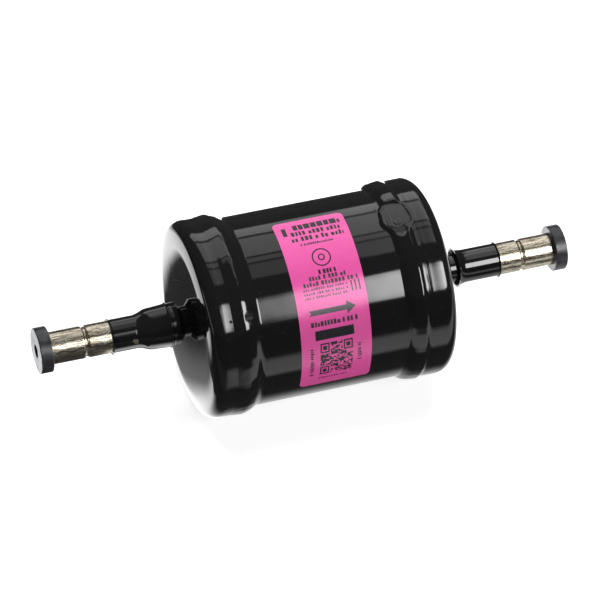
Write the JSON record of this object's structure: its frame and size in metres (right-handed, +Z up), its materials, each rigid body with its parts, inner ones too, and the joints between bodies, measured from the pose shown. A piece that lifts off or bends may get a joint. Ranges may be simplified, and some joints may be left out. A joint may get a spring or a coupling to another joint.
{
  "type": "filter drier",
  "caption": "Hermetic liquid-line filter drier: a black steel shell with lapped end caps, copper solder connections and rubber transit plugs that pull out.",
  "frame": {"origin": "middle of the shell tube on its axis, inside the band of bare shell that a strap closes on", "axes": "+X along the axis in the direction of flow, from inlet to outlet; +Z up; the label faces -Y and +Z"},
  "size_m": [0.1834, 0.0676, 0.0676],
  "materials": {
    "black_coating": "glossy black coating over steel",
    "copper_tube": "bare drawn copper tube, black coating on the stretch next to the shell",
    "braze_alloy": "brazed fillet under black coating",
    "plug_rubber": "moulded dark grey rubber, satin",
    "label_paper": null,
    "bare_steel": "bare steel, as pressed or wound",
    "moulded_desiccant": "porous moulded desiccant",
    "felt": "pressed polyester felt"
  },
  "bodies": {
    "drier": {"shell_tube": "black_coating", "inlet_end_cap": "black_coating", "outlet_end_cap": "black_coating", "inlet_weld_bead": "black_coating", "outlet_weld_bead": "black_coating", "inlet_nipple": "black_coating", "outlet_nipple": "black_coating", "inlet_connector": "copper_tube", "outlet_connector": "copper_tube", "inlet_braze_ring": "braze_alloy", "outlet_braze_ring": "braze_alloy", "product_label": "label_paper", "core_spring": "bare_steel", "spring_plate": "bare_steel", "desiccant_core": "moulded_desiccant", "core_gasket": "felt", "filter_pad": "felt", "outlet_screen": "bare_steel", "outlet_support_plate": "bare_steel"},
    "inlet_plug": {"inlet_plug": "plug_rubber"},
    "outlet_plug": {"outlet_plug": "plug_rubber"}
  },
  "joints": [
    {"name": "inlet_plug_pull", "type": "slide", "parent": "drier", "child": "inlet_plug", "axis": [-1, 0, 0], "range_m": [0, 0.025]},
    {"name": "outlet_plug_pull", "type": "slide", "parent": "drier", "child": "outlet_plug", "axis": [1, 0, 0], "range_m": [0, 0.025]}
  ]
}
